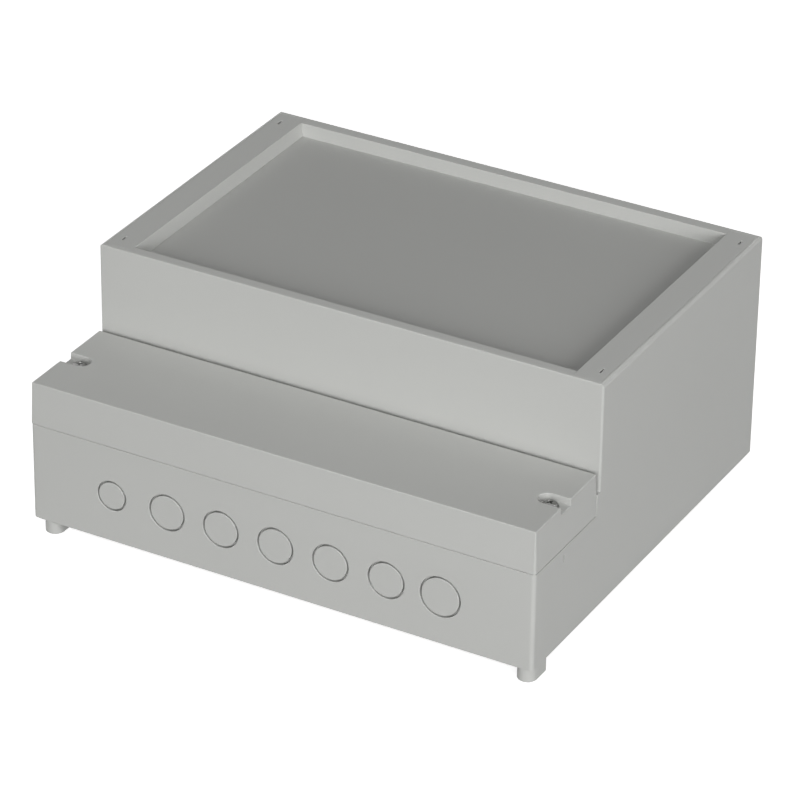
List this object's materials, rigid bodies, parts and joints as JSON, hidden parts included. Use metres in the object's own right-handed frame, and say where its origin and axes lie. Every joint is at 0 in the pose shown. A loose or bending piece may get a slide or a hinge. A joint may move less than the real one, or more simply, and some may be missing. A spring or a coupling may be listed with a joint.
{
  "type": "controller enclosure",
  "caption": "Wall-mounted plastic controller housing with a keypad recess in its deck, a stepped terminal room with a sealed screw-down cover and a row of cable knock-outs.",
  "frame": {"origin": "middle of the wall plane that the feet and the keyhole pad stand on", "axes": "+X across the cable-entry wall to the right, +Y from the cable-entry wall to the back wall, +Z away from the wall to the deck"},
  "size_m": [0.257, 0.22, 0.1198],
  "materials": {
    "shell": "fine moulded grain",
    "strip": "fine moulded grain",
    "screw": "dark zinc plated",
    "insert": "turned",
    "seal": "foamed rubber cord",
    "nylon": "natural nylon"
  },
  "bodies": {
    "base": {"housing": "shell", "rear_plate": "shell", "rear_seal": "seal", "cover_seal": "seal", "cover_inserts": "insert", "housing_inserts": "insert", "housing_screws": "screw"},
    "cover": {"terminal_cover": "shell"},
    "left_screw": {"left_cover_screw": "screw", "left_screw_retainer": "nylon"},
    "right_screw": {"right_cover_screw": "screw", "right_screw_retainer": "nylon"},
    "left_band": {"left_strip": "strip"},
    "right_band": {"right_strip": "strip"}
  },
  "joints": [
    {"name": "cover_lift", "type": "slide", "parent": "base", "child": "cover", "axis": [0, 0, 1], "range_m": [0, 0.08]},
    {"name": "left_screw_turn", "type": "hinge", "parent": "cover", "child": "left_screw", "pos_m": [-0.1201, -0.0816, 0.0723], "axis": [0, 0, 1], "continuous": true},
    {"name": "right_screw_turn", "type": "hinge", "parent": "cover", "child": "right_screw", "pos_m": [0.1201, -0.0816, 0.0723], "axis": [0, 0, 1], "continuous": true},
    {"name": "left_strip_lift", "type": "slide", "parent": "base", "child": "left_band", "axis": [0, 0, 1], "range_m": [0, 0.03]},
    {"name": "right_strip_lift", "type": "slide", "parent": "base", "child": "right_band", "axis": [0, 0, 1], "range_m": [0, 0.03]}
  ]
}
